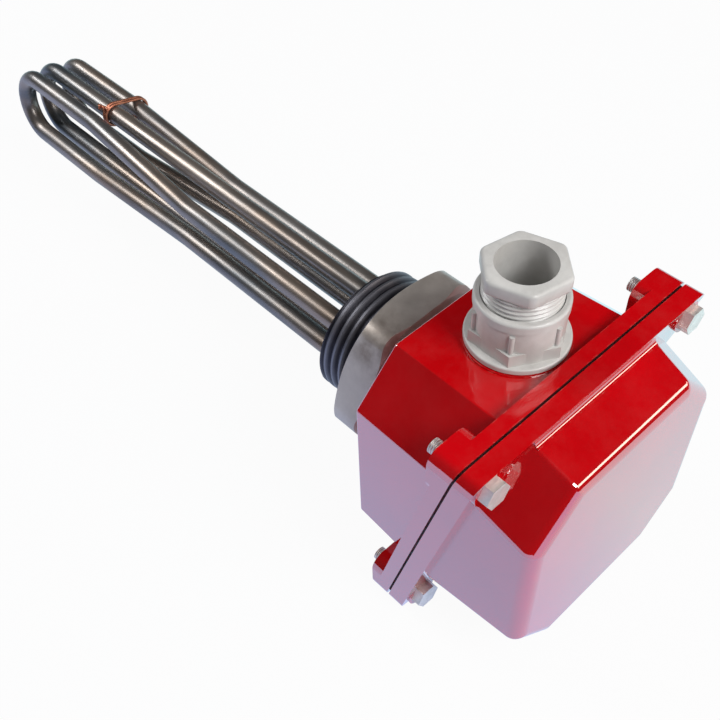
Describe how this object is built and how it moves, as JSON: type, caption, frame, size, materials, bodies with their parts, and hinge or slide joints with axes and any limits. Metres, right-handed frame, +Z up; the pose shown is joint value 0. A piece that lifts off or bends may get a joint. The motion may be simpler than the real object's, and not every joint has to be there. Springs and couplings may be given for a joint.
{
  "type": "screw plug immersion heater",
  "caption": "Screw-in immersion heater: hairpin heating elements in a threaded hexagon plug, with a cast octagonal terminal box and a cable gland.",
  "frame": {"origin": "centre of the plug's sealing shoulder, where the thread meets the hexagon", "axes": "+X along the plug's axis towards the box cover, the elements along -X; +Z up along the cable gland; +Y to the right as seen from the front of the cover"},
  "size_m": [0.4088, 0.129, 0.1514],
  "materials": {
    "plug": "turned metal, satin, hexagon slightly tarnished",
    "sheath": "heat-tinted sheath, bronze with blue rims",
    "tie": "soft copper wire",
    "stud": "bright pins",
    "bush": "white ceramic",
    "terminal": "plain brass",
    "paint": "thick gloss red paint on a casting",
    "gasket": "black rubber sheet",
    "bolt": "pale zinc plating",
    "gland": "warm grey moulded nylon",
    "seal": "black rubber",
    "ring": "bright thrust ring"
  },
  "bodies": {
    "heater": {"screw_plug": "plug", "element_left": "sheath", "element_middle": "sheath", "element_right": "sheath", "tie_wire": "tie", "terminal_studs": "stud", "ceramic_bushes": "bush", "terminal_nuts": "terminal", "terminal_washers": "terminal", "star_link": "terminal", "box_base": "paint", "box_cover": "paint", "cover_gasket": "gasket", "cover_bolts": "bolt", "base_gasket": "gasket", "base_screws": "bolt", "gland_body": "gland", "gland_locknut": "gland", "gland_washer": "seal", "gland_seal": "seal", "earth_screw": "terminal", "earth_washer": "terminal"},
    "clamp": {"gland_clamp_ring": "ring"},
    "nut": {"gland_nut": "gland"}
  },
  "joints": [
    {"name": "clamp_slide", "type": "slide", "parent": "heater", "child": "clamp", "axis": [0, 0, 1], "range_m": [-0.003, 0], "deforming": ["gland_seal"]},
    {"name": "nut_turn", "type": "hinge", "parent": "clamp", "child": "nut", "pos_m": [0.0591, 0, 0.085], "axis": [0, 0, 1], "range_deg": [-720, 0]}
  ],
  "couplings": [
    {"joint": "clamp_slide", "follows": "nut_turn", "m_per_rad": 0.00023873}
  ]
}
